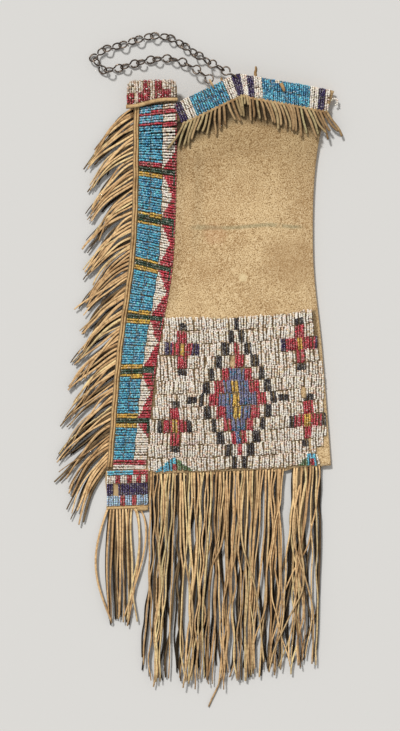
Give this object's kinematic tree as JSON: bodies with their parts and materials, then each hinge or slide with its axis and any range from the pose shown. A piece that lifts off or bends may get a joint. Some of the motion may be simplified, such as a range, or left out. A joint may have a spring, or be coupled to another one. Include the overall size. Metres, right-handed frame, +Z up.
{
  "type": "beaded tobacco bag",
  "caption": "Flat hide tobacco bag, open at the top, with a beaded panel, side strip and mouth bands, long cut fringes and a loop of wire chain at the mouth.",
  "frame": {"origin": "middle of the whole bag's box, on the surface that it lies on", "axes": "+Y along the bag from the fringe to the mouth, +X to the right seen from the beaded front, +Z up out of the beaded front"},
  "size_m": [0.2818, 0.6688, 0.0225],
  "materials": {
    "hide": "brain-tanned, napped",
    "fringe": "cut hide, soiled",
    "white_beads": "opaque glazed glass",
    "blue_beads": "opaque glazed glass",
    "red_beads": "opaque glazed glass",
    "lavender_beads": "opaque glazed glass",
    "yellow_beads": "opaque glazed glass",
    "green_beads": "opaque glazed glass",
    "purple_beads": "opaque glazed glass",
    "chain_wire": "dull, darkened"
  },
  "bodies": {
    "bag": {"pouch": "hide", "side_welt": "hide", "flap_binding": "hide", "thong_mouth_1": "hide", "thong_mouth_2": "hide", "thong_band": "hide", "side_fringe": "fringe", "bottom_fringe": "fringe", "tail_fringe": "fringe", "mouth_fringe": "fringe", "bead_panel": "white_beads", "strip_white": "white_beads", "strip_flap": "white_beads", "band_white_1": "white_beads", "band_white_2a": "white_beads", "band_white_2b": "white_beads", "band_white_3a": "white_beads", "band_white_3b": "white_beads", "loose_beads": "white_beads", "strip_blue": "blue_beads", "mouth_band": "blue_beads", "mouth_band_back": "blue_beads", "panel_red": "red_beads", "panel_cross_1": "red_beads", "panel_cross_2": "red_beads", "panel_cross_3": "red_beads", "panel_cross_4": "red_beads", "panel_core": "lavender_beads", "panel_heart": "yellow_beads", "strip_bar_1": "green_beads", "strip_bar_2": "green_beads", "strip_bar_3": "green_beads", "strip_bar_4": "green_beads", "strip_bar_5": "green_beads", "strip_bar_6": "green_beads", "tail_tab": "purple_beads", "band_purple_1": "purple_beads", "band_purple_2": "purple_beads", "chain_link_01": "chain_wire"},
    "chain_pair_1": {"chain_link_02": "chain_wire", "chain_tie": "hide"},
    "chain_pair_2": {"chain_link_03": "chain_wire", "chain_link_18": "chain_wire"},
    "chain_pair_3": {"chain_link_04": "chain_wire", "chain_link_17": "chain_wire"},
    "chain_pair_4": {"chain_link_05": "chain_wire", "chain_link_16": "chain_wire"},
    "chain_pair_5": {"chain_link_06": "chain_wire", "chain_link_15": "chain_wire"},
    "chain_pair_6": {"chain_link_07": "chain_wire", "chain_link_14": "chain_wire"},
    "chain_pair_7": {"chain_link_08": "chain_wire", "chain_link_13": "chain_wire"},
    "chain_pair_8": {"chain_link_09": "chain_wire", "chain_link_12": "chain_wire"},
    "chain_pair_9": {"chain_link_10": "chain_wire", "chain_link_11": "chain_wire"}
  },
  "joints": [
    {"name": "fold_1", "type": "hinge", "parent": "bag", "child": "chain_pair_1", "pos_m": [0.02375, 0.296, 0.01452], "axis": [0.558, 0.8171, -0.145], "range_deg": [-25, 40]},
    {"name": "fold_2", "type": "hinge", "parent": "chain_pair_1", "child": "chain_pair_2", "pos_m": [0.01055, 0.30361, 0.00807], "axis": [-0.0812, 0.9171, -0.3904], "range_deg": [-40, 40]},
    {"name": "fold_3", "type": "hinge", "parent": "chain_pair_2", "child": "chain_pair_3", "pos_m": [-0.00303, 0.31244, 0.00471], "axis": [-0.215, 0.911, -0.3519], "range_deg": [-40, 40]},
    {"name": "fold_4", "type": "hinge", "parent": "chain_pair_3", "child": "chain_pair_4", "pos_m": [-0.01671, 0.32172, 0.00442], "axis": [-0.2398, 0.9624, -0.1273], "range_deg": [-40, 40]},
    {"name": "fold_5", "type": "hinge", "parent": "chain_pair_4", "child": "chain_pair_5", "pos_m": [-0.03144, 0.32891, 0.00518], "axis": [-0.1962, 0.9796, 0.0441], "range_deg": [-40, 40]},
    {"name": "fold_6", "type": "hinge", "parent": "chain_pair_5", "child": "chain_pair_6", "pos_m": [-0.04783, 0.32975, 0.00493], "axis": [-0.1828, 0.9825, 0.035], "range_deg": [-40, 40]},
    {"name": "fold_7", "type": "hinge", "parent": "chain_pair_6", "child": "chain_pair_7", "pos_m": [-0.06383, 0.32557, 0.00453], "axis": [-0.1815, 0.9834, 0.0059], "range_deg": [-40, 40]},
    {"name": "fold_8", "type": "hinge", "parent": "chain_pair_7", "child": "chain_pair_8", "pos_m": [-0.07953, 0.32038, 0.00422], "axis": [-0.1764, 0.9843, -0.0054], "range_deg": [-40, 40]},
    {"name": "fold_9", "type": "hinge", "parent": "chain_pair_8", "child": "chain_pair_9", "pos_m": [-0.09524, 0.31576, 0.00524], "axis": [-0.1708, 0.9842, -0.0473], "range_deg": [-40, 40]}
  ]
}
